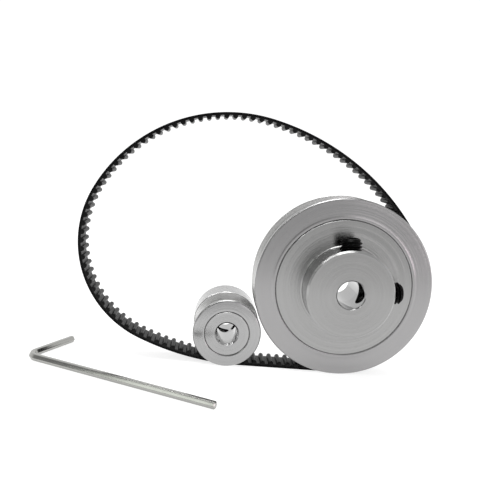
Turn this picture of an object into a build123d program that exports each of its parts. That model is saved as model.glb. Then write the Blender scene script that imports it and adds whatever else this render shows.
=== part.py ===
from build123d import *
import os
from math import cos, pi, radians, sin, sqrt, tan
import numpy as np

# A timing belt drive set: a 60-tooth and a 20-tooth pulley standing on their rims inside
# a slack endless belt, with the hex key that turns the set screws.
#
# Millimetres. The origin is on the large pulley's bore axis, midway between its flanges.
# +X points from the small pulley to the large one, +Y points away from the large hub along
# the bore axes, +Z points up. The pulleys' rims, the belt and the key rest on one level.

# ---- tooth system, 2 mm pitch, round teeth ---------------------------------------------
pitch = 2.0
pitch_line_depth = 0.254  # pulley tooth tips lie this far inside the pitch circle
belt_tooth_width = 1.20
belt_tooth_height = 0.75
tooth_side_clearance = 0.05  # between a belt tooth and each side of a pulley's tooth space
tooth_tip_clearance = 0.05

# ---- belt ------------------------------------------------------------------------------
belt_teeth = 112
belt_width = 6.0
back_thickness = 0.63  # rubber and cord behind the tooth roots
cord_layer_depth = 0.27  # from the back of the belt to the cord layer
cord_layer_thickness = 0.20
belt_run_past_small = -4.0  # the flat run on the ground ends this far short of the small axis
rising_radius = 63.0  # back of the belt, where it first leaves the ground
rising_turn = 23.0
left_turn = 94.0
top_turn = 74.5
falling_turn = 46.5
rim_over_belt = 0.1954  # the large pulley's rims stand this far proud of the belt round them

# ---- large pulley ----------------------------------------------------------------------
large_teeth = 60
large_rim_height = 2.1554  # the flanges' rims, above the tooth tips
large_core_drop = 2.8446  # the joint between core and flanges, below the tooth tips
large_hub_radius = 10.0
large_hub_length = 6.8
large_bore_radius = 3.175
large_bore_chamfer = 0.2
large_hub_chamfer = 0.4
large_screw_angles = {"top": -3.0, "side": 87.0}  # clockwise from the top, hub side

# ---- small pulley ----------------------------------------------------------------------
small_teeth = 20
small_rim_height = 1.8878
small_core_drop = 0.9122
small_body_length = 7.9  # hub and rear flange in one, behind the toothed stretch
small_bore_radius = 2.5
small_bore_chamfer = 0.35
small_hub_chamfer = 0.4
small_screw_angles = {"low": 196.0, "side": 106.0}
small_screw_inset = 2.3  # from the toothed stretch back to the screws' axes
rim_gap = 0.31  # between the two pulleys' rims

# ---- both pulleys ----------------------------------------------------------------------
belt_side_clearance = 0.5  # between the belt and each flange
flange_thickness = 1.1
flange_fall = 0.15  # the outer face leans back this much towards the rim
flange_flare = 0.25  # the inner face opens this much towards the rim
rim_chamfer = 0.15
seam_chamfer = 0.12  # on both sides of the joint between flange and core
cutter_overrun = 1.0  # bore and screw-hole cutters reach this far past the metal

# ---- set screws ------------------------------------------------------------------------
thread_clearance = 0.05  # radial, between a screw's crests and its hole
large_screw_radius = 2.5
large_screw_pitch = 0.8
large_screw_length = 8.0
large_screw_socket = 2.5  # across flats
large_screw_socket_depth = 2.6
large_screw_tip_gap = 1.15  # from the bore wall to the screw's point, as stored
small_screw_radius = 1.5
small_screw_pitch = 0.5
small_screw_length = 4.0
small_screw_socket_depth = 1.8
small_screw_tip_gap = 0.2
thread_depth_per_pitch = 0.6
crest_share = 0.16  # flat top of a thread, in pitches
point_bevel = 0.6  # height and width of the bevel at a screw's point, in thread depths

# ---- hex key ---------------------------------------------------------------------------
key_across_flats = 1.5
key_clearance = 0.02  # the small set screws' sockets are this much wider than the key
key_long_arm = 46.5
key_short_arm = 14.8
key_arm_angle = 87.0  # between the arms
key_bend_radius = 2.4  # to the rod's centre line
key_end_chamfer = 0.2
key_corner_x = -70.6
key_corner_y = -7.85
key_turn = -25.1  # of the long arm, about +Z

# ---- worked out ------------------------------------------------------------------------
large_tip_radius = large_teeth * pitch / (2 * pi) - pitch_line_depth
large_flange_radius = large_tip_radius + large_rim_height
large_core_radius = large_tip_radius - large_core_drop
small_tip_radius = small_teeth * pitch / (2 * pi) - pitch_line_depth
small_flange_radius = small_tip_radius + small_rim_height
small_core_radius = small_tip_radius - small_core_drop
groove_width = belt_tooth_width + 2 * tooth_side_clearance
groove_depth = belt_tooth_height + tooth_tip_clearance
half_groove = belt_width / 2 + belt_side_clearance
small_screw_y = half_groove + small_screw_inset
small_screw_socket = key_across_flats + key_clearance
ground = -large_flange_radius
small_z = ground + small_flange_radius
small_x = -sqrt((large_flange_radius + small_flange_radius + rim_gap) ** 2 - small_z**2)
belt_pitch_depth = back_thickness - pitch_line_depth


def turned(shape, angle):
    """The shape turned clockwise about the bore axis, seen from the large hub's side."""
    return shape.rotate(Axis.Y, angle)


def at_small(shape):
    return shape.translate((small_x, 0, small_z))


def in_plane(x, z):
    return Vector(x, -belt_width / 2, z)


def lathe(points):
    """A solid turned about the Y axis from (radius, y) corners."""
    outline = Polyline(*points, close=True)
    return revolve(make_face(outline), Axis.Y, 360)


# ---- pulleys ---------------------------------------------------------------------------
def toothed_disc(teeth, tip):
    """The toothed stretch between the flanges: lands on one circle, round-bottomed spaces."""
    half_space = groove_width / 2 / tip
    step = 2 * pi / teeth
    bottom = tip - groove_depth

    def at(radius, angle):
        return (radius * sin(angle), -half_groove, radius * cos(angle))

    edges = []
    for k in range(teeth):
        middle = k * step
        start, end = middle - half_space, middle + half_space
        land_end = middle + step - half_space
        land_middle = (end + land_end) / 2
        edges.append(Edge.make_three_point_arc(at(tip, start), at(bottom, middle), at(tip, end)))
        edges.append(Edge.make_three_point_arc(at(tip, end), at(tip, land_middle), at(tip, land_end)))
    return Solid.extrude(Face(Wire(edges)), Vector(0, 2 * half_groove, 0))


def bore_cutter(radius, chamfer, front, back):
    over = cutter_overrun
    mouth = radius + chamfer + over
    return lathe([
        (0, front - over), (mouth, front - over), (radius, front + chamfer),
        (radius, back - chamfer), (mouth, back + over), (0, back + over),
    ])


def screw_hole(radius, length, y, angle):
    hole = Cylinder(radius + thread_clearance, length, align=(Align.CENTER, Align.CENTER, Align.MIN))
    return turned(hole.translate((0, y, 0)), angle)


def large_pulley_body():
    face = half_groove + flange_thickness
    nose = face + large_hub_length
    core = large_core_radius
    turned_parts = lathe([
        (0, -nose), (large_hub_radius - large_hub_chamfer, -nose),
        (large_hub_radius, -nose + large_hub_chamfer), (large_hub_radius, -face),
        (core - seam_chamfer, -face), (core, -face + seam_chamfer),
        (core, face - seam_chamfer), (core - seam_chamfer, face), (0, face),
    ])
    body = turned_parts + toothed_disc(large_teeth, large_tip_radius)
    body -= bore_cutter(large_bore_radius, large_bore_chamfer, -nose, face)
    hole_y = -face - large_hub_length / 2
    for angle in large_screw_angles.values():
        body -= screw_hole(large_screw_radius, large_hub_radius + cutter_overrun, hole_y, angle)
    return body


def small_pulley_body():
    face = half_groove + flange_thickness
    core = small_core_radius
    rim = small_flange_radius
    flared = half_groove + flange_flare
    back = half_groove + small_body_length
    turned_parts = lathe([
        (0, -face), (core - seam_chamfer, -face), (core, -face + seam_chamfer),
        (core, half_groove), (small_tip_radius, half_groove), (rim - rim_chamfer, flared),
        (rim, flared + rim_chamfer), (rim, back - small_hub_chamfer),
        (rim - small_hub_chamfer, back), (0, back),
    ])
    body = turned_parts + toothed_disc(small_teeth, small_tip_radius)
    body -= bore_cutter(small_bore_radius, small_bore_chamfer, -face, back)
    for angle in small_screw_angles.values():
        body -= screw_hole(small_screw_radius, rim + cutter_overrun, small_screw_y, angle)
    return at_small(body)


def flange(core, tip, outer, side):
    """A pressed-on ring; side is -1 at the large hub's end and +1 at the other."""
    wall = half_groove
    rim_face = wall + flange_thickness - flange_fall
    points = [
        (core, wall), (tip, wall), (outer - rim_chamfer, wall + flange_flare),
        (outer, wall + flange_flare + rim_chamfer), (outer, rim_face - rim_chamfer),
        (outer - rim_chamfer, rim_face), (core + 2 * seam_chamfer, wall + flange_thickness),
        (core, wall + flange_thickness - 2 * seam_chamfer),
    ]
    return lathe([(radius, side * y) for radius, y in points])


# ---- set screws ------------------------------------------------------------------------
def set_screw(radius, thread_pitch, length, socket, socket_depth):
    """A headless screw along +Z, its point at z = 0 and its socket at the top."""
    depth = thread_depth_per_pitch * thread_pitch
    root = radius - depth
    bevel = point_bevel * depth
    turns = int((length - 2 * bevel) / thread_pitch)
    start = (length - turns * thread_pitch) / 2
    rise = (1 - crest_share) / 2 * thread_pitch
    crest = crest_share * thread_pitch
    points = [(0, 0), (root - bevel, 0), (root, bevel)]
    for k in range(turns):
        z = start + k * thread_pitch
        points += [(root, z), (radius, z + rise), (radius, z + rise + crest)]
    points += [(root, length - start), (root, length - bevel), (root - bevel, length), (0, length)]
    outline = Polyline(*[(r, 0, z) for r, z in points], close=True)
    blank = revolve(make_face(outline), Axis.Z, 360)
    hexagon = RegularPolygon(socket / sqrt(3), 6)
    recess = extrude(hexagon, socket_depth).translate((0, 0, length - socket_depth))
    return blank - recess


def large_set_screw(angle):
    screw = set_screw(
        large_screw_radius, large_screw_pitch, large_screw_length,
        large_screw_socket, large_screw_socket_depth,
    )
    y = -half_groove - flange_thickness - large_hub_length / 2
    return turned(screw.translate((0, y, large_bore_radius + large_screw_tip_gap)), angle)


def small_set_screw(angle):
    screw = set_screw(
        small_screw_radius, small_screw_pitch, small_screw_length,
        small_screw_socket, small_screw_socket_depth,
    )
    lifted = screw.translate((0, small_screw_y, small_bore_radius + small_screw_tip_gap))
    return at_small(turned(lifted, angle))


# ---- belt ------------------------------------------------------------------------------
def belt_route():
    """The back of the belt as (radius, turn in radians) arcs, after a flat run on the ground.

    The loop starts under the large pulley and runs left, up, over the top and down round the
    large pulley. The three free radii are the ones that close it at its true length.
    """
    flat_run = -small_x + belt_run_past_small
    wrap_radius = large_flange_radius - rim_over_belt
    turns = [radians(t) for t in (rising_turn, left_turn, top_turn, falling_turn)]
    turns.append(2 * pi - sum(turns))
    heading = pi
    reach = []
    for turn in turns:
        after = heading - turn
        reach.append((sin(heading) - sin(after), cos(after) - cos(heading)))
        heading = after
    length = belt_teeth * pitch + 2 * pi * belt_pitch_depth
    known = np.array([
        -flat_run + rising_radius * reach[0][0] + wrap_radius * reach[4][0],
        rising_radius * reach[0][1] + wrap_radius * reach[4][1],
        flat_run + rising_radius * turns[0] + wrap_radius * turns[4] - length,
    ])
    rows = np.array([
        [reach[k][0] for k in (1, 2, 3)], [reach[k][1] for k in (1, 2, 3)], turns[1:4],
    ])
    free = np.linalg.solve(rows, -known)
    radii = [rising_radius, *free, wrap_radius]
    return flat_run, list(zip(radii, turns))


def route_points(depth, distance):
    """Position and inward normal on the line this deep in the belt, at a pitch-line distance."""
    flat_run, arcs = belt_route()
    if distance <= flat_run:
        return (-distance, ground + depth), (0.0, 1.0)
    x, z, heading, left = -flat_run, ground, pi, distance - flat_run
    for radius, turn in arcs:
        centre_x, centre_z = x + radius * sin(heading), z - radius * cos(heading)
        swept = min(left / (radius - belt_pitch_depth), turn)
        heading -= swept
        normal = (sin(heading), -cos(heading))
        x, z = centre_x - radius * normal[0], centre_z - radius * normal[1]
        left -= swept * (radius - belt_pitch_depth)
        if swept < turn:
            break
    return (x + depth * normal[0], z + depth * normal[1]), normal


def plain_loop(depth):
    """A closed wire this deep in the belt: the flat run, then one arc for each bend."""
    flat_run, arcs = belt_route()
    marks = [0.0, flat_run]
    edges = [Edge.make_line(in_plane(0, ground + depth), in_plane(-flat_run, ground + depth))]
    for radius, turn in arcs:
        start = marks[-1]
        end = start + turn * (radius - belt_pitch_depth)
        ends = [route_points(depth, s)[0] for s in (start, (start + end) / 2, end)]
        edges.append(Edge.make_three_point_arc(*[in_plane(*point) for point in ends]))
        marks.append(end)
    return Wire(edges)


def toothed_loop():
    """The inside of the belt: a round tooth every pitch, joined by the roots between them."""
    feet = []
    for k in range(belt_teeth):
        (x, z), (nx, nz) = route_points(back_thickness, (k + 0.5) * pitch)
        half = belt_tooth_width / 2
        first = in_plane(x + half * nz, z - half * nx)
        last = in_plane(x - half * nz, z + half * nx)
        crest = in_plane(x + belt_tooth_height * nx, z + belt_tooth_height * nz)
        feet.append((first, crest, last))
    edges = []
    for k, (first, crest, last) in enumerate(feet):
        edges.append(Edge.make_three_point_arc(first, crest, last))
        edges.append(Edge.make_line(last, feet[(k + 1) % belt_teeth][0]))
    return Wire(edges)


def belt_layer(outside, inside):
    return Solid.extrude(Face(outside, [inside]), Vector(0, belt_width, 0))


# ---- hex key ---------------------------------------------------------------------------
def hex_key():
    """A hexagonal rod bent once, lying on one of its flats; the arms meet at the origin."""
    half_angle = radians(key_arm_angle / 2)
    bend_start = key_bend_radius / tan(half_angle)
    bend_middle = key_bend_radius / sin(half_angle) - key_bend_radius
    short_way = Vector(cos(2 * half_angle), sin(2 * half_angle), 0)
    middle_way = Vector(cos(half_angle), sin(half_angle), 0)
    long_start = Vector(bend_start, 0, 0)
    long_end = Vector(key_long_arm, 0, 0)
    short_start = short_way * bend_start
    path = Wire([
        Edge.make_line(long_end, long_start),
        Edge.make_three_point_arc(long_start, middle_way * bend_middle, short_start),
        Edge.make_line(short_start, short_way * key_short_arm),
    ])
    section_plane = Plane(origin=long_end, x_dir=(0, 1, 0), z_dir=(-1, 0, 0))
    section = section_plane * RegularPolygon(key_across_flats / sqrt(3), 6)
    rod = sweep(section, path=path)
    ends = [rod.faces().sort_by(Axis.X)[-1], rod.faces().sort_by(Axis.Y)[-1]]
    rod = chamfer([edge for end in ends for edge in end.edges()], key_end_chamfer)
    placed = rod.rotate(Axis.Z, key_turn)
    return placed.translate((key_corner_x, key_corner_y, ground + key_across_flats / 2))


# ---- build -----------------------------------------------------------------------------
def build():
    large_ring = (large_core_radius, large_tip_radius, large_flange_radius)
    small_ring = (small_core_radius, small_tip_radius, small_flange_radius)
    parts = {
        "large_pulley_body": large_pulley_body(),
        "large_front_flange": flange(*large_ring, -1),
        "large_rear_flange": flange(*large_ring, 1),
        "small_pulley_body": small_pulley_body(),
        "small_front_flange": at_small(flange(*small_ring, -1)),
        "hex_key": hex_key(),
    }
    for place, angle in large_screw_angles.items():
        parts["large_set_screw_" + place] = large_set_screw(angle)
    for place, angle in small_screw_angles.items():
        parts["small_set_screw_" + place] = small_set_screw(angle)
    cord_top = cord_layer_depth
    cord_bottom = cord_layer_depth + cord_layer_thickness
    parts["belt_backing"] = belt_layer(plain_loop(0), plain_loop(cord_top))
    parts["belt_tensile_layer"] = belt_layer(plain_loop(cord_top), plain_loop(cord_bottom))
    parts["belt_toothed_layer"] = belt_layer(plain_loop(cord_bottom), toothed_loop())
    return parts


os.makedirs("parts", exist_ok=True)
for name, shape in build().items():
    export_step(shape, "parts/" + name + ".step")
    print(name, round(shape.volume, 3))
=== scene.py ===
"""Looks of a timing belt drive set: two flanged pulleys in a slack toothed belt, and a hex key.

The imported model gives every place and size. This script adds the finer surfaces that a
machined, moulded or drawn part has, and dresses each piece in a worked-out material.
All lengths are in metres.
"""

from __future__ import annotations

import logging
from dataclasses import dataclass, field, replace
from enum import Enum
from math import asin, cos, pi, radians, sin, sqrt, tan
from typing import Any, Optional, Sequence

import bpy
import numpy as np
from bpy.types import Material, NodeSocket, Object, World
from mathutils import Matrix, Vector


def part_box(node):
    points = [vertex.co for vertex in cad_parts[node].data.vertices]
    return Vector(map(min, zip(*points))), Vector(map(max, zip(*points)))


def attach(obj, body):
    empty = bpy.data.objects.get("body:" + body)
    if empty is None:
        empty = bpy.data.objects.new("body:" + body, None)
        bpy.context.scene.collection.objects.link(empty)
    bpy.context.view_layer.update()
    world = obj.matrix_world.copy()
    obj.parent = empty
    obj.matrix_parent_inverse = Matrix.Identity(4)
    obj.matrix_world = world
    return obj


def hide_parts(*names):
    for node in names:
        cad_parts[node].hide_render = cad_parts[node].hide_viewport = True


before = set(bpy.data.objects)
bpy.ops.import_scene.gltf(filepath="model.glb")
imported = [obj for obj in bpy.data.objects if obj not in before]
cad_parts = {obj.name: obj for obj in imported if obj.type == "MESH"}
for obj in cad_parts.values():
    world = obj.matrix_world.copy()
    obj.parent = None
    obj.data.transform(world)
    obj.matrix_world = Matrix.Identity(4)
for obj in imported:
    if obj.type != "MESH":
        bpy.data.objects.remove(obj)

log = logging.getLogger("belt_drive_set")

MM = 0.001
SIXTH = pi / 3
UV_NAME = "along"
Colour = tuple[float, float, float]
Triple = tuple[float, float, float]
Pair = tuple[float, float]


def grey(level: float) -> Colour:
    """A neutral colour."""
    return level, level, level


def scaled(colour: Colour, share: float) -> Colour:
    """A colour with each part taken at a share."""
    return share * colour[0], share * colour[1], share * colour[2]


# ---- Meshes ----
def grid_faces(rows: int, columns: int, wrap_rows: bool, wrap_columns: bool) -> np.ndarray:
    """Quads that join a grid of vertices to its neighbours.

    Args:
        rows: float of rows in the grid.
        columns: float of vertices in each row.
        wrap_rows: Whether the last row is joined to the first.
        wrap_columns: Whether each row closes on itself.

    Returns:
        An array of four vertex numbers per quad.
    """
    row, column = np.meshgrid(
        np.arange(rows if wrap_rows else rows - 1),
        np.arange(columns if wrap_columns else columns - 1),
        indexing="ij",
    )
    here, below = row * columns, (row + 1) % rows * columns
    beside = (column + 1) % columns
    return np.stack([here + column, here + beside, below + beside, below + column], -1).reshape(-1, 4)


def add_mesh(
    name: str,
    vertices: np.ndarray,
    quads: np.ndarray,
    triangles: Optional[np.ndarray] = None,
    sharp_degrees: float = 35.0,
) -> Object:
    """Makes a mesh object at the origin from whole arrays.

    Args:
        name: The object's name.
        vertices: Positions, one row each.
        quads: Four vertex numbers per face.
        triangles: Three vertex numbers per face, or None.
        sharp_degrees: Edges that turn more than this stay sharp.

    Returns:
        The new object, linked to the scene.
    """
    faces = quads.tolist() + ([] if triangles is None else triangles.tolist())
    mesh = bpy.data.meshes.new(name)
    mesh.from_pydata(vertices.tolist(), [], faces)
    mesh.validate()
    mesh.shade_smooth()
    mesh.set_sharp_from_angle(angle=radians(sharp_degrees))
    made = bpy.data.objects.new(name, mesh)
    bpy.context.scene.collection.objects.link(made)
    return made


def cap_triangles(ring: np.ndarray, pole: int, outward: bool) -> np.ndarray:
    """A fan of triangles from a closed ring of vertices to one vertex.

    Args:
        ring: The ring's vertex numbers in order.
        pole: The number of the vertex where the triangles meet.
        outward: Whether the triangles follow the ring's own order.

    Returns:
        An array of three vertex numbers per triangle.
    """
    beside = np.roll(ring, -1)
    poles = np.full_like(ring, pole)
    order = (ring, beside, poles) if outward else (beside, ring, poles)
    return np.stack(order, -1)


def lay_uv(made: Object, per_vertex: np.ndarray, wrap: Sequence[float]) -> None:
    """Writes a UV map from one pair of lengths per vertex, unrolled across the closing seam.

    Args:
        made: The object, whose faces join neighbouring grid vertices.
        per_vertex: Distance along and across the piece at each vertex, in metres.
        wrap: The length after which each direction starts again, or 0 where it doesn't.
    """
    mesh = made.data
    corners = np.zeros(len(mesh.loops), np.int32)
    mesh.loops.foreach_get("vertex_index", corners)
    starts = np.zeros(len(mesh.polygons), np.int32)
    totals = np.zeros(len(mesh.polygons), np.int32)
    mesh.polygons.foreach_get("loop_start", starts)
    mesh.polygons.foreach_get("loop_total", totals)
    uv = per_vertex[corners].copy()
    first = np.repeat(uv[starts], totals, axis=0)
    for axis, length in enumerate(wrap):
        if length > 0:
            uv[:, axis] -= np.round((uv[:, axis] - first[:, axis]) / length) * length
    layer = mesh.uv_layers.new(name=UV_NAME)
    layer.data.foreach_set("uv", uv.astype(np.float32).ravel())


def lengths_round(outline: np.ndarray) -> tuple[np.ndarray, float]:
    """How far along a closed outline each of its points lies.

    Args:
        outline: The outline's points, one row each.

    Returns:
        The distances from the first point, and the whole length round.
    """
    steps = np.linalg.norm(np.roll(outline, -1, axis=0) - outline, axis=1)
    reached = np.concatenate([[0.0], np.cumsum(steps)])
    return reached[:-1], reached[-1]


def pairs_of(along: np.ndarray, across: np.ndarray) -> np.ndarray:
    """The two lengths at each vertex of a grid, row by row."""
    return np.stack(np.meshgrid(along, across, indexing="ij"), -1).reshape(-1, 2)


def rounded(corners: Sequence[Pair], radius: float, steps: int = 4) -> np.ndarray:
    """A closed outline whose corners are turned into short arcs.

    Each corner is replaced by a quadratic curve from a point `radius` before it to one
    `radius` after it, with the corner itself as the control point.

    Args:
        corners: The outline's corners in order.
        radius: How far from the corner the rounding starts.
        steps: Points per corner.

    Returns:
        The outline's points, one row each.
    """
    points = np.asarray(corners, float)
    before, after = np.roll(points, 1, axis=0), np.roll(points, -1, axis=0)
    out = []
    for p, a, b in zip(points, before, after):
        reach = min(radius, 0.45 * np.linalg.norm(a - p), 0.45 * np.linalg.norm(b - p))
        start = p + (a - p) / np.linalg.norm(a - p) * reach
        end = p + (b - p) / np.linalg.norm(b - p) * reach
        t = np.linspace(0, 1, steps)[:, None]
        out.append((1 - t) ** 2 * start + 2 * t * (1 - t) * p + t**2 * end)
    return np.concatenate(out)


# ---- Shader maths ----
class Wire:
    """A shader value whose Python operators add Math nodes to its tree."""

    def __init__(self, bench: "Bench", socket: NodeSocket) -> None:
        """Wraps one output socket."""
        self.bench = bench
        self.socket = socket

    def _with(self, operation: str, first: Any, second: Any = None) -> "Wire":
        """The value of one Math node."""
        inputs = {0: first} if second is None else {0: first, 1: second}
        return self.bench.add("ShaderNodeMath", {"operation": operation}, inputs)

    def __add__(self, other: Any) -> "Wire":
        """Sum."""
        return self._with("ADD", self, other)

    def __sub__(self, other: Any) -> "Wire":
        """Difference."""
        return self._with("SUBTRACT", self, other)

    def __rsub__(self, other: Any) -> "Wire":
        """Difference the other way round, so that 1 - mask works."""
        return self._with("SUBTRACT", other, self)

    def __mul__(self, other: Any) -> "Wire":
        """Product."""
        return self._with("MULTIPLY", self, other)

    def root(self) -> "Wire":
        """Square root."""
        return self._with("SQRT", self)

    def sine(self) -> "Wire":
        """Sine."""
        return self._with("SINE", self)

    def step(self, low: float, high: float) -> "Wire":
        """0 below low, 1 above high, smooth between them."""
        inputs = {"Value": self, "From Min": low, "From Max": high}
        settings = {"interpolation_type": "SMOOTHSTEP", "clamp": True}
        return self.bench.add("ShaderNodeMapRange", settings, inputs)

    def about(self, middle: float, spread: float) -> "Wire":
        """A noise from 0 to 1, brought to a middle value and a spread."""
        return self * spread + (middle - spread / 2)


class Bench:
    """A node tree, with one method that adds any node."""

    def __init__(self, owner: Material | World, shader: str, ending: str) -> None:
        """Starts the owner's tree afresh.

        Args:
            owner: The material or world.
            shader: The type of its shader node.
            ending: The type of its output node.
        """
        owner.use_nodes = True
        self.owner = owner
        self.tree = owner.node_tree
        self.tree.nodes.clear()
        self.shader = self.tree.nodes.new(shader)
        output = self.tree.nodes.new(ending)
        self.tree.links.new(self.shader.outputs[0], output.inputs["Surface"])

    @classmethod
    def material(cls, name: str) -> "Bench":
        """A bench for a new material with a Principled shader."""
        return cls(bpy.data.materials.new(name), "ShaderNodeBsdfPrincipled", "ShaderNodeOutputMaterial")

    @classmethod
    def world(cls, name: str) -> "Bench":
        """A bench for a new world with a Background shader."""
        return cls(bpy.data.worlds.new(name), "ShaderNodeBackground", "ShaderNodeOutputWorld")

    def plug(self, socket: NodeSocket, value: Any) -> None:
        """Links or sets one input socket.

        Args:
            socket: The socket.
            value: A Wire to link, or a number, colour or vector to set.
        """
        if isinstance(value, Wire):
            self.tree.links.new(value.socket, socket)
        elif isinstance(value, (tuple, list)) and len(value) == 3 and len(socket.default_value) == 4:
            socket.default_value = (*value, 1.0)
        else:
            socket.default_value = value

    def add(
        self,
        kind: str,
        settings: Optional[dict[str, Any]] = None,
        inputs: Optional[dict[int | str, Any]] = None,
        output: int | str = 0,
    ) -> Wire:
        """Adds a node.

        Args:
            kind: The node's type.
            settings: Its properties.
            inputs: A number, colour, vector or Wire for each named or numbered socket.
            output: The output that the result stands for.

        Returns:
            The chosen output.
        """
        node = self.tree.nodes.new(kind)
        for key, value in (settings or {}).items():
            setattr(node, key, value)
        for key, value in (inputs or {}).items():
            self.plug(node.inputs[key], value)
        return Wire(self, node.outputs[output])

    def noise(self, where: Any, scale: float, detail: float, roughness: float = 0.5) -> Wire:
        """Noise over a vector, from 0 to 1."""
        inputs = {"Vector": where, "Scale": scale, "Detail": detail, "Roughness": roughness}
        return self.add("ShaderNodeTexNoise", {"noise_dimensions": "3D"}, inputs, "Fac")

    def line_noise(self, where: Wire, scale: float, detail: float) -> Wire:
        """Noise along one value, from 0 to 1."""
        inputs = {"W": where, "Scale": scale, "Detail": detail}
        return self.add("ShaderNodeTexNoise", {"noise_dimensions": "1D"}, inputs, "Fac")

    def mix(self, factor: Any, first: Any, second: Any) -> Wire:
        """Mixes two colours.

        Args:
            factor: The share of the second colour.
            first: The first colour.
            second: The second colour.

        Returns:
            The mixed colour.
        """
        node = self.tree.nodes.new("ShaderNodeMix")
        node.data_type = "RGBA"
        for socket, value in zip([s for s in node.inputs if s.enabled], (factor, first, second)):
            self.plug(socket, value)
        return Wire(self, next(s for s in node.outputs if s.enabled))

    def patched(self, shade: Any, noise: Wire, low: float, high: float, share: float, patch: Any) -> Wire:
        """Mixes in a share of a second colour where a noise is between low and high, or higher."""
        return self.mix(noise.step(low, high) * share, shade, patch)

    def vector(self, operation: str, inputs: dict[int | str, Any], output: str = "Vector") -> Wire:
        """One Vector Math node."""
        return self.add("ShaderNodeVectorMath", {"operation": operation}, inputs, output)

    def place(self) -> Wire:
        """The point on the surface, in the piece's own coordinates."""
        return self.add("ShaderNodeTexCoord", None, None, "Object")

    def lengths(self) -> tuple[Wire, ...]:
        """The lengths in the piece's UV map: u along it, v across it, and nothing."""
        return self.split(self.add("ShaderNodeUVMap", {"uv_map": UV_NAME}, None, "UV"))

    def normal(self) -> Wire:
        """The surface's normal."""
        return self.add("ShaderNodeNewGeometry", None, None, "Normal")

    def split(self, vector: Wire) -> tuple[Wire, ...]:
        """A vector's x, y and z."""
        parts = self.add("ShaderNodeSeparateXYZ", None, {0: vector}).socket.node.outputs
        return tuple(Wire(self, part) for part in parts)

    def join(self, x: Any, y: Any, z: Any) -> Wire:
        """A vector from three parts."""
        return self.add("ShaderNodeCombineXYZ", None, {0: x, 1: y, 2: z}, "Vector")

    def bump(self, height: Wire, distance: float, strength: float) -> Wire:
        """A normal bent by a height from 0 to 1 over the given distance."""
        inputs = {"Strength": strength, "Distance": distance, "Height": height}
        return self.add("ShaderNodeBump", None, inputs)

    def lean(self, push: Wire) -> Wire:
        """Leans the surface's normal.

        Args:
            push: The vector to add to it, in the piece's own coordinates.

        Returns:
            The leaning normal.
        """
        settings = {"vector_type": "VECTOR", "convert_from": "OBJECT", "convert_to": "WORLD"}
        turned = self.add("ShaderNodeVectorTransform", settings, {0: push})
        return self.vector("NORMALIZE", {0: self.vector("ADD", {0: self.normal(), 1: turned})})

    def finish(self, **sockets: Any) -> Any:
        """Plugs the shader's sockets.

        Args:
            sockets: A value for each socket, whose spaces are written as underscores.

        Returns:
            The material or world.
        """
        for key, value in sockets.items():
            self.plug(self.shader.inputs[key.replace("_", " ")], value)
        return self.owner


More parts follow.
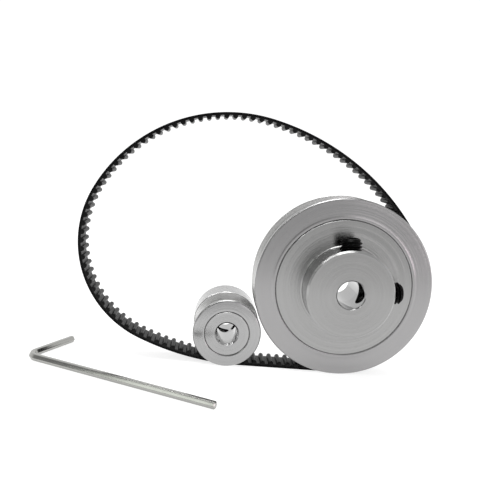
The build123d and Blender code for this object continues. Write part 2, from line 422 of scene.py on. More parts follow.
# ---- Finishes ----
@dataclass(frozen=True)
class TurnedAluminium:
    """Aluminium faced on a lathe: fine rings round the bore axis that smear reflections, with painted light
    on its sides and in the belt groove and painted shade in its bore.
    """

    name: str
    colour: Colour = (0.325, 0.325, 0.322)
    # Painted light: a lighter colour for surfaces that face across the axis, standing in for light bounced
    # between the pulley's faces.
    side_painted_light: Colour = grey(0.52)
    # Painted shade: a darker colour for the bore's wall, standing in for the shade inside the bore.
    bore_painted_shade: Colour = grey(0.23)
    # Painted light: a lighter colour for the belt groove between the flanges, standing in for light bounced
    # into it; groove_edge bounds it.
    groove_painted_light: Colour = (0.66, 0.66, 0.655)
    groove_edge: Pair = (3.9 * MM, 4.2 * MM)
    roughness: float = 0.17
    ring_spacing: float = 0.045 * MM
    ring_slope: float = 0.45
    chatter_spacing: float = 0.9 * MM
    chatter_share: float = 0.06
    hoop_share: float = 1.2
    hoop_drift: float = 0.37
    rough_spreads: Pair = (0.10, 0.05)
    rough_middle: float = 0.07
    bore_edge: Pair = (0.98, 1.12)
    # The share of the painted bore shade mixed in.
    bore_shade_share: float = 0.8
    bore_calm: float = 0.8
    bore_polish: float = 0.55
    axis_x: float = 0.0
    axis_z: float = 0.0
    bore_radius: float = 3.175 * MM

    def build(self) -> Material:
        """Makes the material.

        The radius from the bore axis and the distance along it drive two fine one-way
        noises, which lean the normal outwards and along the axis: flat faces get rings
        and turned sides get hoops.

        Returns:
            The material.
        """
        b = Bench.material(self.name)
        place = b.place()
        x, y, z = b.split(place)
        dx, dz = x - self.axis_x, z - self.axis_z
        radius = (dx * dx + dz * dz).root()
        inner, outer = (share * self.bore_radius for share in self.bore_edge)
        in_bore = 1.0 - radius.step(inner, outer)
        fine = 1.0 / self.ring_spacing
        rings = b.line_noise(radius, fine, detail=3.0)
        hoops = b.line_noise(y + radius * self.hoop_drift, fine, detail=3.0)
        chatter = b.line_noise(radius, 1.0 / self.chatter_spacing, detail=2.0)
        outward = b.vector("NORMALIZE", {0: b.join(dx, 0.0, dz)})
        waves = chatter.about(0.0, self.chatter_share * self.ring_slope)
        ring_lean = rings.about(0.0, 2 * self.ring_slope) + waves
        hoop_lean = hoops.about(0.0, self.hoop_share * self.ring_slope)
        ring_push = b.vector("SCALE", {0: outward, "Scale": ring_lean})
        lean = b.vector("ADD", {0: ring_push, 1: b.join(0.0, hoop_lean, 0.0)})
        push = b.vector("SCALE", {0: lean, "Scale": 1.0 - in_bore * self.bore_calm})
        smudge = b.noise(place, scale=120.0, detail=3.0, roughness=0.55)
        clouds = b.noise(place, scale=45.0, detail=2.0)
        mark, stain = scaled(self.colour, 0.90), scaled(self.colour, 0.86)
        shade = b.patched(self.colour, chatter, low=0.35, high=0.7, share=0.35, patch=mark)
        shade = b.patched(shade, smudge, low=0.55, high=0.8, share=0.25, patch=stain)
        # Painted light: surfaces that face across the axis take the lighter side colour, in place of the
        # light bounced onto them.
        _, normal_y, _ = b.split(b.normal())
        side_light_mask = 1.0 - (normal_y * normal_y).step(0.10, 0.60)
        shade = b.mix(side_light_mask, shade, self.side_painted_light)
        # Painted light: the groove between the flanges is made lighter, in place of the light bounced into
        # it.
        groove_light_mask = 1.0 - (y * y).root().step(*self.groove_edge)
        shade = b.mix(groove_light_mask, shade, self.groove_painted_light)
        # Painted shade: the bore's wall is darkened, in place of the shade that falls inside it.
        shade = b.mix(in_bore * self.bore_shade_share, shade, self.bore_painted_shade)
        by_clouds, by_rings = self.rough_spreads
        rough = clouds * by_clouds + rings * by_rings + (self.roughness - self.rough_middle)
        return b.finish(
            Base_Color=shade,
            Metallic=1.0,
            Roughness=rough * (1.0 - in_bore * self.bore_polish),
            Normal=b.lean(push),
        )


@dataclass(frozen=True)
class BlackOxide:
    """Blackened steel of a set screw: oily black, rubbed a little in patches."""

    name: str
    colour: Colour = grey(0.002)
    rubbed: Colour = grey(0.004)
    roughness: float = 0.26
    specular: float = 0.05

    def build(self) -> Material:
        """Makes the material.

        Returns:
            A material with fine grain and wear in patches.
        """
        b = Bench.material(self.name)
        place = b.place()
        grain = b.noise(place, scale=9000.0, detail=2.0)
        patches = b.noise(place, scale=1500.0, detail=3.0)
        return b.finish(
            Base_Color=b.patched(self.colour, patches, low=0.52, high=0.75, share=0.5, patch=self.rubbed),
            Metallic=0.0,
            Specular_IOR_Level=self.specular,
            Roughness=patches.about(self.roughness, 0.16),
            Normal=b.bump(grain, 0.01 * MM, 0.6),
        )


class RubberKind(Enum):
    """Which face of the belt a rubber finish is for."""

    BACK = "ground back"
    CORD = "cord layer"
    TOOTH = "moulded teeth"


@dataclass(frozen=True)
class BeltRubber:
    """Black belt rubber; u runs along the belt and v across it."""

    name: str
    kind: RubberKind
    colour: Colour = (0.002, 0.002, 0.0023)
    dusty: Colour = (0.006, 0.006, 0.0066)
    roughness: float = 0.46
    specular: float = 0.11
    weave: float = 0.16 * MM
    grind_slant: float = 0.02

    def build(self) -> Material:
        """Makes the material for its face of the belt.

        Returns:
            A material with grinding lines across the back, only fine grain on the layer behind the teeth, or
            the weave of the facing cloth on the teeth.
        """
        b = Bench.material(self.name)
        u, v, _ = b.lengths()
        place = b.place()
        grain = b.noise(place, scale=14000.0, detail=3.0)
        clouds = b.noise(place, scale=260.0, detail=3.0)
        height, distance = grain, 0.01 * MM
        if self.kind is RubberKind.BACK:
            lines = b.line_noise(u + v * self.grind_slant, scale=9000.0, detail=3.0)
            height, distance = lines * 0.6 + grain * 0.4, 0.012 * MM
        elif self.kind is RubberKind.TOOTH:
            thread = 2 * pi / self.weave
            cloth = (u * thread).sine() * (v * thread).sine()
            height, distance = cloth * 0.25 + 0.5 + grain * 0.25, 0.012 * MM
        return b.finish(
            Base_Color=b.patched(self.colour, clouds, low=0.40, high=0.75, share=0.6, patch=self.dusty),
            Roughness=clouds.about(self.roughness, 0.14),
            Specular_IOR_Level=self.specular,
            Normal=b.bump(height, distance, 0.8),
        )


@dataclass(frozen=True)
class DrawnSteel:
    """Plated drawn hexagon rod: fine lines along its length; u runs along, v round it."""

    name: str
    colour: Colour = (0.37, 0.37, 0.355)
    roughness: float = 0.15
    line_spacing: float = 0.02 * MM
    line_stretch: float = 0.02

    def build(self) -> Material:
        """Makes the material.

        Returns:
            A material with drawing lines and faint clouds.
        """
        b = Bench.material(self.name)
        u, v, _ = b.lengths()
        lines = b.noise(b.join(u * self.line_stretch, v, 0.0), 1.0 / self.line_spacing, detail=3.0)
        clouds = b.noise(b.place(), scale=300.0, detail=3.0)
        dull = scaled(self.colour, 0.80)
        return b.finish(
            Base_Color=b.patched(self.colour, clouds, low=0.45, high=0.8, share=0.4, patch=dull),
            Metallic=1.0,
            Roughness=clouds.about(self.roughness, 0.12),
            Normal=b.bump(lines, 0.004 * MM, 0.7),
        )


# ---- Pulleys ----
def circle_of(node: str) -> Triple:
    """Centre x and z and outer radius of a round CAD node whose axis lies along Y."""
    low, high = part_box(node)
    return (low.x + high.x) / 2, (low.z + high.z) / 2, (high.x - low.x) / 2


def lathe(
    name: str,
    outline: np.ndarray,
    centre_x: float,
    centre_z: float,
    around: int = 240,
) -> Object:
    """A ring turned about an axis along Y.

    The point at outline position k and angle a is the centre plus radius_k times
    (sin a, cos a), at the outline's own y.

    Args:
        name: The object's name.
        outline: Closed outline of (radius, y) points.
        centre_x: The axis' x.
        centre_z: The axis' z.
        around: Points round the ring.

    Returns:
        The new object.
    """
    angle = np.linspace(0, 2 * pi, around, endpoint=False)[:, None]
    radius, y = outline[:, 0][None, :], outline[:, 1][None, :]
    points = np.stack(
        [centre_x + radius * np.sin(angle), y + 0 * angle, centre_z + radius * np.cos(angle)], -1
    )
    quads = grid_faces(around, len(outline), True, True)
    signed = 0.5 * np.sum(
        outline[:, 0] * np.roll(outline[:, 1], -1) - np.roll(outline[:, 0], -1) * outline[:, 1]
    )
    if signed < 0:
        quads = quads[:, ::-1]
    return add_mesh(name, points.reshape(-1, 3), quads)


@dataclass
class PressedFlange:
    """A guide ring pressed onto a pulley's core."""

    node: str
    piece: str
    body: str
    slot: str
    seam_radius: float
    towards_hub: bool
    fall: float = 0.15 * MM
    flare: float = 0.25 * MM
    edge_round: float = 0.16 * MM
    rim_break: float = 0.32 * MM
    seam_round: float = 0.20 * MM
    seam_dip: float = 0.03 * MM
    flare_start: float = 0.55
    ridge: Triple = (0.45 * MM, 0.70 * MM, 1.05 * MM)
    ridge_height: float = 0.12 * MM

    def build(self, finish: Material) -> Object:
        """Turns the ring inside its CAD node's box and dresses it.

        Args:
            finish: The ring's material.

        Returns:
            The finished piece.
        """
        low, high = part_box(self.node)
        centre_x, centre_z, outer = circle_of(self.node)
        wall, face = (high.y, low.y) if self.towards_hub else (low.y, high.y)
        out = -1.0 if self.towards_hub else 1.0
        seam = self.seam_radius
        ridge_in, ridge_out, ridge_foot = (seam + reach for reach in self.ridge)
        corners = [
            (seam, wall),
            (seam + self.flare_start * (outer - seam), wall),
            (outer, wall + out * self.flare),
            (outer, face - out * (self.fall + self.rim_break)),
            (outer - self.rim_break, face - out * self.fall),
            (ridge_foot, face - out * self.ridge_height),
            (ridge_out, face),
            (ridge_in, face),
            (seam + self.seam_round, face - out * self.seam_dip),
            (seam, face - out * (self.seam_round + self.seam_dip)),
        ]
        outline = rounded(corners, self.edge_round, 5)
        made = lathe(self.piece, outline, centre_x, centre_z)
        made.data.materials.append(finish)
        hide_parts(self.node)
        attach(made, self.body)
        return made


@dataclass
class RootFillet:
    """The small hollow that the lathe tool's nose leaves where a hub meets its face."""

    piece: str
    body: str
    slot: str
    flange_node: str
    hub_radius: float
    face_y: float
    radius: float = 0.35 * MM
    sunk: float = 0.05 * MM
    steps: int = 9

    def build(self, finish: Material) -> Object:
        """Turns the fillet, a quarter circle scooped from the corner of hub and face.

        Args:
            finish: The pulley body's material.

        Returns:
            The finished piece.
        """
        centre_x, centre_z, _ = circle_of(self.flange_node)
        turn = np.linspace(0.0, pi / 2, self.steps)
        hollow_r = self.hub_radius + self.radius * (1 - np.cos(turn))
        hollow_y = self.face_y - self.radius * (1 - np.sin(turn))
        under_hub, under_face = self.hub_radius - self.sunk, self.face_y + self.sunk
        inside = [
            (self.hub_radius + self.radius, under_face),
            (under_hub, under_face),
            (under_hub, self.face_y - self.radius),
        ]
        outline = np.concatenate([np.stack([hollow_r, hollow_y], -1), np.array(inside)])
        made = lathe(self.piece, outline, centre_x, centre_z)
        made.data.materials.append(finish)
        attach(made, self.body)
        return made


@dataclass
class Pulley:
    """One pulley: a machined body kept from the CAD, its pressed flanges and root fillets."""

    body_node: str
    finish: TurnedAluminium
    flange_finish: TurnedAluminium
    flanges: list[PressedFlange]
    fillets: list[RootFillet] = field(default_factory=list)

    def build(self) -> list[Object]:
        """Dresses the body and makes the pieces added to it.

        Returns:
            The body, its flanges and its fillets.
        """
        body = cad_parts[self.body_node]
        body_material = self.finish.build()
        body.data.materials.clear()
        body.data.materials.append(body_material)
        ring_material = self.flange_finish.build()
        rings = [flange.build(ring_material) for flange in self.flanges]
        return [body, *rings, *(fillet.build(body_material) for fillet in self.fillets)]


# ---- Set screws ----
@dataclass
class SetScrew:
    """A headless screw with a helical thread, a hexagon socket and a cup point."""

    node: str
    piece: str
    body: str
    outward: Vector
    radius: float
    thread_pitch: float
    length: float
    socket: float
    socket_depth: float
    around: int = 72
    per_turn: int = 14
    depth_in_pitches: float = 0.6
    bevel_in_pitches: float = 0.35
    flank_slope: float = 3.0
    flat_root: float = 0.35
    fade_in_pitches: float = 0.55
    fade_start: float = 0.6
    cup_share: float = 0.45
    socket_steps: int = 6

    def _thread_radius(self, height: float, angle: np.ndarray) -> np.ndarray:
        """Radius of the thread.

        The phase is height over pitch less the turn made; the flank rises and falls
        evenly with it, between a flat root and a flat crest, and the thread fades out
        near each end.

        Args:
            height: Height over the point.
            angle: Angles round the axis.

        Returns:
            The radius at each angle.
        """
        depth = self.depth_in_pitches * self.thread_pitch
        phase = np.mod(height / self.thread_pitch - angle / (2 * pi), 1.0)
        ramp = np.clip((0.5 - np.abs(phase - 0.5)) * self.flank_slope - self.flat_root, 0.0, 1.0)
        from_end = min(height, self.length - height) / (self.fade_in_pitches * self.thread_pitch)
        return self.radius - depth + depth * ramp * np.clip(from_end - self.fade_start, 0.0, 1.0)

    def _hexagon(self, angle: np.ndarray) -> np.ndarray:
        """Distance from the axis to the wall of the hexagon socket at each angle."""
        return self.socket / 2 / np.cos(np.mod(angle, SIXTH) - SIXTH / 2)

    def surface(self) -> tuple[np.ndarray, np.ndarray, np.ndarray]:
        """The screw standing on its point at the origin, as a grid of rings.

        Returns:
            Vertices, quads and cap triangles.
        """
        angle = np.linspace(0, 2 * pi, self.around, endpoint=False)
        core = self.radius - self.depth_in_pitches * self.thread_pitch
        steps = int(round(self.length / self.thread_pitch * self.per_turn))
        cup = self.cup_share * core
        cup_floor, cup_depth, cup_pole = 0.35 * cup, 0.30 * cup, 0.34 * cup
        rings = [(cup_floor + 0 * angle, cup_depth), (cup + 0 * angle, 0.0)]
        bevel = self.bevel_in_pitches * self.thread_pitch
        for height in np.linspace(0, self.length, steps + 1):
            bevelled = core - bevel + min(height, self.length - height)
            rings.append((np.minimum(self._thread_radius(height, angle), bevelled), height))
        wall = self._hexagon(angle)
        mouth_radius, mouth_depth = self.socket / 2 * 1.16, 0.12 * self.socket
        floor_height, drill_depth = self.length - self.socket_depth, 0.2 * self.socket
        rings.append((np.maximum(wall, mouth_radius), self.length))
        rings.append((wall, self.length - mouth_depth))
        for share in np.linspace(0.2, 1.0, self.socket_steps):
            rings.append((wall, self.length - share * self.socket_depth))
        rings.append((0.5 * wall, floor_height - mouth_depth))
        radius = np.stack([ring for ring, _ in rings])
        height = np.array([h for _, h in rings])[:, None] + 0 * radius
        points = np.stack([radius * np.cos(angle), radius * np.sin(angle), height], -1).reshape(-1, 3)
        points = np.concatenate([points, [[0, 0, cup_pole], [0, 0, floor_height - drill_depth]]])
        quads = grid_faces(len(rings), self.around, False, True)
        first = np.arange(self.around)
        last = first + (len(rings) - 1) * self.around
        low_pole, high_pole = len(points) - 2, len(points) - 1
        caps = np.concatenate([cap_triangles(first, low_pole, False), cap_triangles(last, high_pole, True)])
        return points, quads, caps

    def build(self, finish: Material) -> Object:
        """Makes the screw in its CAD node's place.

        Args:
            finish: The screw's material.

        Returns:
            The finished piece.
        """
        low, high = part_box(self.node)
        middle = (low + high) / 2
        points, quads, caps = self.surface()
        turn = np.array(self.outward.to_track_quat("Z", "Y").to_matrix())
        foot = np.array(middle - self.outward * (self.length / 2))
        made = add_mesh(self.piece, points @ turn.T + foot, quads, caps, 40.0)
        made.data.materials.append(finish)
        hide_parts(self.node)
        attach(made, self.body)
        return made


# ---- Belt ----
@dataclass
class BeltRoute:
    """The belt's closed line: a flat run on the ground, then five tangent arcs."""

    ground: float
    flat_run: float
    wrap_radius: float
    teeth: int = 112
    pitch: float = 2.0 * MM
    pitch_depth: float = 0.376 * MM
    rising_radius: float = 63.0 * MM
    turns_degrees: tuple[float, float, float, float] = (23.0, 94.0, 74.5, 46.5)

    def __post_init__(self) -> None:
        """Finds the three free radii that close the loop at its true length."""
        turns = [radians(t) for t in self.turns_degrees]
        turns.append(2 * pi - sum(turns))
        after = pi - np.cumsum(turns)
        before = np.concatenate([[pi], after[:-1]])
        reach = np.stack([np.sin(before) - np.sin(after), np.cos(after) - np.cos(before), turns])
        length = self.teeth * self.pitch + 2 * pi * self.pitch_depth
        known = reach[:, 0] * self.rising_radius + reach[:, 4] * self.wrap_radius
        known += np.array([-self.flat_run, 0.0, self.flat_run - length])
        free = np.linalg.solve(reach[:, 1:4], -known)
        self.radii = np.array([self.rising_radius, *free, self.wrap_radius])
        self.headings = before
        spans = np.array(turns) * (self.radii - self.pitch_depth)
        self.starts = self.flat_run + np.concatenate([[0.0], np.cumsum(spans)[:-1]])
        self.length = self.teeth * self.pitch
        x, z = -self.flat_run, self.ground
        centres = []
        for radius, start, end in zip(self.radii, before, after):
            cx, cz = x + radius * sin(start), z - radius * cos(start)
            centres.append((cx, cz))
            x, z = cx - radius * sin(end), cz + radius * cos(end)
        self.centres = np.array(centres)

    def at(self, distance: np.ndarray, depth: np.ndarray) -> tuple[np.ndarray, np.ndarray]:
        """Points and inward normals at a distance along the pitch line and a depth from the back.

        On an arc the heading falls by distance over the pitch line's radius; the normal
        is the heading turned a quarter, and the point is the centre less the normal
        times the radius that is left at that depth.

        Args:
            distance: Distances along the pitch line.
            depth: Depths from the back of the belt, of the same shape.

        Returns:
            (x, z) points and (x, z) normals.
        """
        s = np.mod(distance, self.length)
        arc = np.clip(np.searchsorted(self.starts, s, side="right") - 1, 0, len(self.starts) - 1)
        swept = (s - self.starts[arc]) / (self.radii[arc] - self.pitch_depth)
        heading = self.headings[arc] - swept
        on_arc = s > self.flat_run
        across, up = np.where(on_arc, np.sin(heading), 0.0), np.where(on_arc, -np.cos(heading), 1.0)
        normal = np.stack([across, up], -1)
        left = (self.radii[arc] - depth)[..., None]
        bent = self.centres[arc] - left * normal
        flat = np.stack([-s, self.ground + depth], -1)
        return np.where(on_arc[..., None], bent, flat), normal


@dataclass
class Belt:
    """An endless toothed belt: back, cord layer and toothed layer, bonded face to face."""

    route: BeltRoute
    width: float
    back_depth: float = 0.27 * MM
    cord_depth: float = 0.47 * MM
    root_depth: float = 0.63 * MM
    tooth_height: float = 0.75 * MM
    tip_radius: float = 0.56 * MM
    root_fillet: float = 0.13 * MM
    edge_round: float = 0.05 * MM
    tip_steps: int = 10
    foot_steps: int = 5
    plain_stations: int = 5
    plain_points: int = 2
    tooth_points: int = 9

    def tooth(self) -> tuple[np.ndarray, np.ndarray]:
        """One pitch of the inside, as distance from the tooth's middle and height over the root.

        The tip is a circle and the foot on each side is a small fillet that touches both
        the circle and the flat root.

        Returns:
            Distances and heights, from one root's middle to the next.
        """
        rise = self.tooth_height - self.tip_radius
        reach = self.tip_radius + self.root_fillet
        foot_x = sqrt(reach**2 - (rise - self.root_fillet) ** 2)
        meet = asin((self.root_fillet - rise) / reach)
        tip = np.linspace(0.0, pi / 2 - meet, self.tip_steps)
        crown_x, crown_h = self.tip_radius * np.sin(tip), rise + self.tip_radius * np.cos(tip)
        fillet = np.linspace(meet, pi / 2, self.foot_steps)[1:]
        fillet_x = foot_x - self.root_fillet * np.cos(fillet)
        fillet_h = self.root_fillet - self.root_fillet * np.sin(fillet)
        half_x = np.concatenate([crown_x, fillet_x, [self.route.pitch / 2]])
        half_h = np.concatenate([crown_h, fillet_h, [0.0]])
        return (
            np.concatenate([-half_x[:0:-1], half_x[:-1]]),
            np.concatenate([half_h[:0:-1], half_h[:-1]]),
        )

    def _band(
        self, name: str, distance: np.ndarray, section: np.ndarray, rise: np.ndarray
    ) -> Object:
        """A closed band: a section carried round the route.

        Args:
            name: The object's name.
            distance: Pitch-line distances of the stations, in order.
            section: Closed (depth, y, share) outline, where share is how much of the
                station's extra height that point takes.
            rise: Extra height of each station over its section.

        Returns:
            The new object, with a UV map of lengths along and round the section.
        """
        s = np.repeat(distance[:, None], len(section), axis=1)
        depth = section[None, :, 0] + rise[:, None] * section[None, :, 2]
        flat, _ = self.route.at(s, depth)
        y = np.broadcast_to(section[None, :, 1], s.shape)
        points = np.stack([flat[..., 0], y, flat[..., 1]], -1)
        quads = grid_faces(len(distance), len(section), True, True)
        made = add_mesh(name, points.reshape(-1, 3), quads, sharp_degrees=50.0)
        across, girth = lengths_round(section[:, :2])
        climb = np.concatenate([[0.0], np.cumsum(np.hypot(np.diff(distance), np.diff(rise)))])
        total = climb[-1] + self.route.length / len(distance)
        lay_uv(made, pairs_of(climb, across), (total, girth))
        return made

    def _section(self, outer: float, inner: float, points: int) -> np.ndarray:
        """A rounded rectangle from one depth to another.

        Args:
            outer: The depth of its outer side.
            inner: The depth of its inner side.
            points: Points across the inner side.

        Returns:
            A closed outline of (depth, y, share), whose inner side takes the extra height.
        """
        half, r = self.width / 2, self.edge_round
        return np.array([
            (outer, r - half, 0.0), (outer, half - r, 0.0), (outer + r, half, 0.0), (inner - r, half, 1.0),
            *((inner, y, 1.0) for y in np.linspace(half - r, r - half, points)),
            (inner - r, -half, 1.0), (outer + r, -half, 0.0),
        ])

    def build(self, finishes: dict[RubberKind, Material]) -> list[Object]:
        """Makes the three bonded layers.

        Args:
            finishes: The material of each layer.

        Returns:
            The finished pieces.
        """
        offsets, heights = self.tooth()
        tooth_middles = (np.arange(self.route.teeth) + 0.5) * self.route.pitch
        stations = (tooth_middles[:, None] + offsets[None, :]).ravel()
        rise = np.tile(heights, self.route.teeth)
        plain = np.linspace(0, self.route.length, self.route.teeth * self.plain_stations, endpoint=False)
        level = np.zeros_like(plain)
        made = []
        for name, node, slot, kind, outer, inner in (
            ("belt_back", "belt_backing", "belt_back", RubberKind.BACK, 0.0, self.back_depth),
            ("belt_cord_line", "belt_tensile_layer", "belt_cord", RubberKind.CORD,
             self.back_depth, self.cord_depth),
            ("belt_teeth_and_facing", "belt_toothed_layer", "belt_teeth", RubberKind.TOOTH,
             self.cord_depth, self.root_depth),
        ):
            if kind is RubberKind.TOOTH:
                piece = self._band(name, stations, self._section(outer, inner, self.tooth_points), rise)
            else:
                piece = self._band(name, plain, self._section(outer, inner, self.plain_points), level)
            piece.data.materials.append(finishes[kind])
            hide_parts(node)
            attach(piece, "belt")
            made.append(piece)
        return made


# ---- Hex key ----
@dataclass
class HexKey:
    """A drawn hexagon rod with one bend and broken ends."""

    node: str = "hex_key"
    across_flats: float = 1.5 * MM
    long_arm: float = 46.5 * MM
    short_arm: float = 14.8 * MM
    arm_angle: float = radians(87.0)
    bend_radius: float = 2.4 * MM
    end_bevel: float = 0.2 * MM
    corner: Pair = (-70.6 * MM, -7.85 * MM)
    turn: float = radians(-25.1)
    corner_round: float = 0.10 * MM
    end_shrink: float = 0.25
    arm_and_bend_steps: tuple[int, int, int] = (24, 17, 8)

    def _path(self) -> tuple[np.ndarray, np.ndarray, np.ndarray]:
        """The centre line from the long arm's end.

        Both arms are straight. In the bend between them the heading falls evenly, and the
        point is the bend's centre plus the radius times the heading turned a quarter.

        Returns:
            The distances, the points and the headings.
        """
        tangent = self.bend_radius / tan(self.arm_angle / 2)
        swing = pi - self.arm_angle
        long_run, short_run = self.long_arm - tangent, self.short_arm - tangent
        bend = self.bend_radius * swing
        ends = np.array([0.0, 0.5, 1.0, 1.6]) * self.end_bevel
        long_steps, bend_steps, short_steps = self.arm_and_bend_steps
        s = np.concatenate([
            ends,
            np.linspace(0.05, 0.97, long_steps) * long_run,
            long_run + np.linspace(0.0, 1.0, bend_steps) * bend,
            long_run + bend + np.linspace(0.06, 0.9, short_steps) * short_run,
            long_run + bend + short_run - ends[::-1],
        ])
        phase = np.clip((s - long_run) / bend, 0.0, 1.0) * swing
        heading = pi - phase
        before = self.long_arm - np.clip(s, 0.0, long_run)
        after = np.clip(s - long_run - bend, 0.0, None)
        x = before - self.bend_radius * np.sin(phase) + after * cos(self.arm_angle)
        y = self.bend_radius * (1 - np.cos(phase)) + after * sin(self.arm_angle)
        return s, np.stack([x, y], -1), heading

    def build(self, finish: Material) -> Object:
        """Sweeps the rounded hexagon along the bent path.

        Args:
            finish: The key's material.

        Returns:
            The finished piece.
        """
        low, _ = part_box(self.node)
        reach = self.across_flats / sqrt(3)
        corners = [(reach * cos(side * SIXTH), reach * sin(side * SIXTH)) for side in range(1, 7)]
        section = rounded(corners, self.corner_round)
        s, line, heading = self._path()
        length = s[-1]
        from_end = np.minimum(s, length - s)
        scale = 1.0 - self.end_shrink * np.clip(1.0 - from_end / self.end_bevel, 0.0, 1.0)
        side = np.stack([np.sin(heading), -np.cos(heading)], -1)
        aside, up = section[None, :, 0] * scale[:, None], section[None, :, 1] * scale[:, None]
        flat = line[:, None, :] + aside[..., None] * side[:, None, :]
        c, t = cos(self.turn), sin(self.turn)
        x = self.corner[0] + c * flat[..., 0] - t * flat[..., 1]
        y = self.corner[1] + t * flat[..., 0] + c * flat[..., 1]
        z = low.z + self.across_flats / 2 + up
        points = np.stack([x, y, z], -1)
        ends = points[[0, -1]].mean(axis=1)
        vertices = np.concatenate([points.reshape(-1, 3), ends])
        count = len(section)
        quads = grid_faces(len(s), count, False, True)[:, ::-1]
        first, last = np.arange(count), np.arange(count) + (len(s) - 1) * count
        poles = len(vertices) - 2, len(vertices) - 1
        caps = np.concatenate([cap_triangles(first, poles[0], True), cap_triangles(last, poles[1], False)])
        made = add_mesh("hex_key_rod", vertices, quads, caps, 25.0)
        across, girth = lengths_round(section)
        uv = np.concatenate([pairs_of(s, across), [[0.0, 0.0], [length, 0.0]]])
        lay_uv(made, uv, (0.0, girth))
        made.data.materials.append(finish)
        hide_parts(self.node)
        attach(made, "key")
        return made


# ---- Studio ----
@dataclass
class SoftBox:
    """An area light that looks at a point, square or drawn out into a strip."""

    name: str
    place: Triple
    size: float
    watts: float
    colour: Colour = grey(1.0)
    strip_length: Optional[float] = None
    aim: Triple = (0.0, 0.0, 0.0)

    def build(self) -> None:
        """Hangs the light."""
        lamp = bpy.data.lights.new(self.name, "AREA")
        lamp.shape = "RECTANGLE"
        lamp.size = self.size
        lamp.size_y = self.strip_length or self.size
        lamp.energy = self.watts
        lamp.color = self.colour
        made = bpy.data.objects.new(self.name, lamp)
        made.location = self.place
        made.rotation_mode = "QUATERNION"
        made.rotation_quaternion = (Vector(self.aim) - Vector(self.place)).to_track_quat("-Z", "Y")
        bpy.context.scene.collection.objects.link(made)


@dataclass
class Studio:
    """Pale floor, soft lights and the camera."""

    ground: float
    camera_place: Triple = (-33.887 * MM, -133.319 * MM, 28.086 * MM)
    yaw: float = 0.06667
    pitch: float = 0.14472
    roll: float = 0.09411
    lens: float = 42.99
    sensor: float = 36.0
    clip: Pair = (0.005, 20.0)
    floor_half: float = 2.0
    floor_colour: Colour = grey(0.45)
    floor_dim: float = 0.62
    floor_fade: Pair = (-0.20, -0.065)
    floor_glow: float = 0.78
    sky_behind: float = 1.08
    sky_front: float = 0.72
    sky_top: float = 0.75
    front_to_behind: Pair = (-0.75, 0.25)
    level_to_top: Pair = (0.30, 0.80)
    dark_towards: Triple = (-0.60, -0.60, 0.50)
    dark_cosines: Pair = (0.68, 0.96)
    dark_depth: float = 0.60
    lights: list[SoftBox] = field(default_factory=list)

    def _camera(self) -> None:
        """Puts the camera in place; yaw turns to the right, pitch down, roll clockwise up."""
        ahead_level = Vector((sin(self.yaw), cos(self.yaw), 0.0))
        right_level = Vector((cos(self.yaw), -sin(self.yaw), 0.0))
        up_level = Vector((0.0, 0.0, 1.0))
        ahead = ahead_level * cos(self.pitch) - up_level * sin(self.pitch)
        up_pitched = ahead_level * sin(self.pitch) + up_level * cos(self.pitch)
        right = right_level * cos(self.roll) + up_pitched * sin(self.roll)
        up = up_pitched * cos(self.roll) - right_level * sin(self.roll)
        turn = Matrix((right, up, -ahead)).transposed()
        data = bpy.data.cameras.new("camera")
        data.sensor_width = self.sensor
        data.lens = self.lens
        data.clip_start, data.clip_end = self.clip
        camera = bpy.data.objects.new("camera", data)
        camera.matrix_world = Matrix.Translation(self.camera_place) @ turn.to_4x4()
        bpy.context.scene.collection.objects.link(camera)
        bpy.context.scene.camera = camera

    def _floor(self) -> None:
        """Lays a plain pale floor under the object, which falls into shade far in front."""
        sides = ((-1, -1), (1, -1), (1, 1), (-1, 1))
        corners = np.array([(x * self.floor_half, y * self.floor_half, self.ground) for x, y in sides])
        floor = add_mesh("floor", corners, np.array([[0, 1, 2, 3]]))
        b = Bench.material("floor_paint")
        _, y, _ = b.split(b.place())
        near = y.step(*self.floor_fade)
        paint = b.finish(
            Base_Color=b.mix(near, scaled(self.floor_colour, self.floor_dim), self.floor_colour),
            Roughness=0.9,
            Specular_IOR_Level=0.1,
            Emission_Color=b.mix(near, grey(self.floor_dim), grey(1.0)),
            Emission_Strength=self.floor_glow,
        )
        floor.data.materials.append(paint)

    def _sky(self) -> None:
        """Pale light from all round, dimmer overhead, in front, and in a soft patch up to the left.

        The strength rises with the direction's y from the front to behind, falls with its z
        towards the top, and falls again as the direction nears the dark patch's middle.
        """
        b = Bench.world("studio")
        towards = b.add("ShaderNodeTexCoord", None, None, "Generated")
        _, y, z = b.split(towards)
        level = y.step(*self.front_to_behind) * (self.sky_behind - self.sky_front) + self.sky_front
        overhead = 1.0 - z.step(*self.level_to_top) * (1.0 - self.sky_top)
        middle = tuple(Vector(self.dark_towards).normalized())
        nearness = b.vector("DOT_PRODUCT", {0: towards, 1: middle}, "Value").step(*self.dark_cosines)
        strength = level * overhead * (1.0 - nearness * self.dark_depth)
        bpy.context.scene.world = b.finish(Color=grey(1.0), Strength=strength)

    def build(self) -> None:
        """Sets up the whole studio."""
        self._camera()
        self._floor()
        self._sky()
        for light in self.lights:
            light.build()
        scene = bpy.context.scene
        scene.view_settings.view_transform = "Standard"
        scene.view_settings.look = "None"


# ---- Assembly ----
def lean_from_top(degrees_clockwise: float) -> Vector:
    """The direction out from a bore axis, clockwise from the top as seen from -Y."""
    a = radians(degrees_clockwise)
    return Vector((sin(a), 0.0, cos(a)))


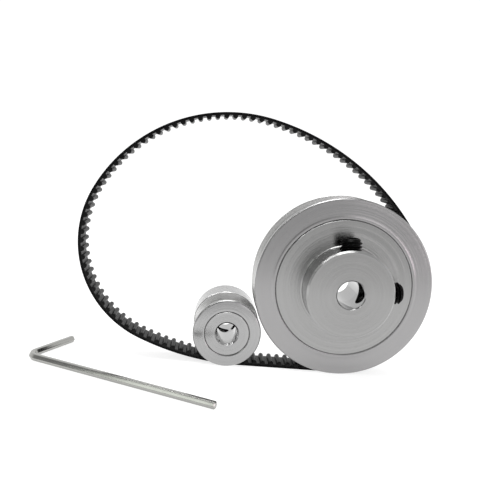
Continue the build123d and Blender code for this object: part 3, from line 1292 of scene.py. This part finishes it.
def main() -> None:
    """Builds every piece in order."""
    logging.basicConfig(level=logging.INFO, format="%(message)s")
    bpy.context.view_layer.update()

    large_x, large_z, large_radius = circle_of("large_front_flange")
    small_x, small_z, _ = circle_of("small_front_flange")
    ground = large_z - large_radius

    studio = Studio(
        ground=ground,
        lights=[
            SoftBox("top", (-0.05, -0.02, 0.60), 0.30, 1.2),
            SoftBox("strip", (-0.17, -0.07, 0.42), 0.03, 0.34, strip_length=0.45),
            SoftBox("over", (0.32, -0.55, 0.30), 0.35, 0.40, (1.0, 0.94, 0.97)),
            SoftBox("left", (-0.45, -0.35, 0.25), 0.20, 0.20, (0.96, 1.0, 0.94)),
            SoftBox("right", (0.50, -0.40, 0.05), 0.25, 0.45, (1.0, 0.86, 0.92)),
        ],
    )
    studio.build()

    large_finish = TurnedAluminium("turned_aluminium_large", axis_x=large_x, axis_z=large_z)
    large_ring_finish = replace(
        large_finish, name="turned_aluminium_large_flange", roughness=0.22, colour=(0.33, 0.327, 0.328)
    )
    small_ring_finish = TurnedAluminium(
        "turned_aluminium_small_flange", colour=grey(0.375),
        axis_x=small_x, axis_z=small_z, bore_radius=2.5 * MM,
    )
    # The small body gets its own painted side light and painted bore shade.
    small_finish = replace(
        small_ring_finish, name="turned_aluminium_small",
        colour=grey(0.37), side_painted_light=grey(0.38), bore_painted_shade=grey(0.34),
    )
    large_core, small_core = 16.0 * MM, 5.2 * MM
    hub_radius, hub_foot = 10.0 * MM, -4.6 * MM
    pulleys = [
        Pulley("large_pulley_body", large_finish, large_ring_finish, [
            PressedFlange(
                "large_front_flange", "large_guide_ring_front", "large_pulley", "large_flange",
                large_core, True,
            ),
            PressedFlange(
                "large_rear_flange", "large_guide_ring_rear", "large_pulley", "large_flange",
                large_core, False,
            ),
        ], [
            RootFillet(
                "large_hub_fillet", "large_pulley", "large_aluminium", "large_front_flange",
                hub_radius, hub_foot,
            ),
        ]),
        Pulley("small_pulley_body", small_finish, small_ring_finish, [
            PressedFlange(
                "small_front_flange", "small_guide_ring_front", "small_pulley", "small_flange",
                small_core, True, ridge_height=0.03 * MM,
            ),
        ]),
    ]
    pieces = [piece for pulley in pulleys for piece in pulley.build()]

    black = BlackOxide("black_oxide").build()
    m5 = dict(
        radius=2.5 * MM, thread_pitch=0.8 * MM, length=8.0 * MM, socket=2.5 * MM, socket_depth=2.6 * MM
    )
    m3 = dict(
        radius=1.5 * MM, thread_pitch=0.5 * MM, length=4.0 * MM, socket=1.52 * MM, socket_depth=1.8 * MM
    )
    screws = [
        SetScrew("large_set_screw_top", "m5_set_screw_top", "large_screw_top", lean_from_top(-3.0), **m5),
        SetScrew("large_set_screw_side", "m5_set_screw_side", "large_screw_side", lean_from_top(87.0), **m5),
        SetScrew("small_set_screw_low", "m3_set_screw_low", "small_screw_low", lean_from_top(196.0), **m3),
        SetScrew("small_set_screw_side", "m3_set_screw_side", "small_screw_side", lean_from_top(106.0), **m3),
    ]
    pieces += [screw.build(black) for screw in screws]

    belt_low, belt_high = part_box("belt_backing")
    rise_before_axis = 4.0 * MM
    route = BeltRoute(ground=ground, flat_run=-small_x - rise_before_axis, wrap_radius=belt_high.x)
    belt = Belt(route, belt_high.y - belt_low.y)
    finishes = {
        RubberKind.BACK: BeltRubber("belt_back_rubber", RubberKind.BACK).build(),
        RubberKind.CORD: BeltRubber("belt_cord_rubber", RubberKind.CORD, roughness=0.6).build(),
        RubberKind.TOOTH: BeltRubber(
            "belt_tooth_rubber", RubberKind.TOOTH, roughness=0.38, specular=0.14,
            colour=(0.002, 0.002, 0.0022), dusty=(0.007, 0.007, 0.0075),
        ).build(),
    }
    pieces += belt.build(finishes)
    pieces.append(HexKey().build(DrawnSteel("drawn_steel").build()))
    for piece in pieces:
        log.info("built %s", piece.name)


if __name__ == "__main__":
    main()
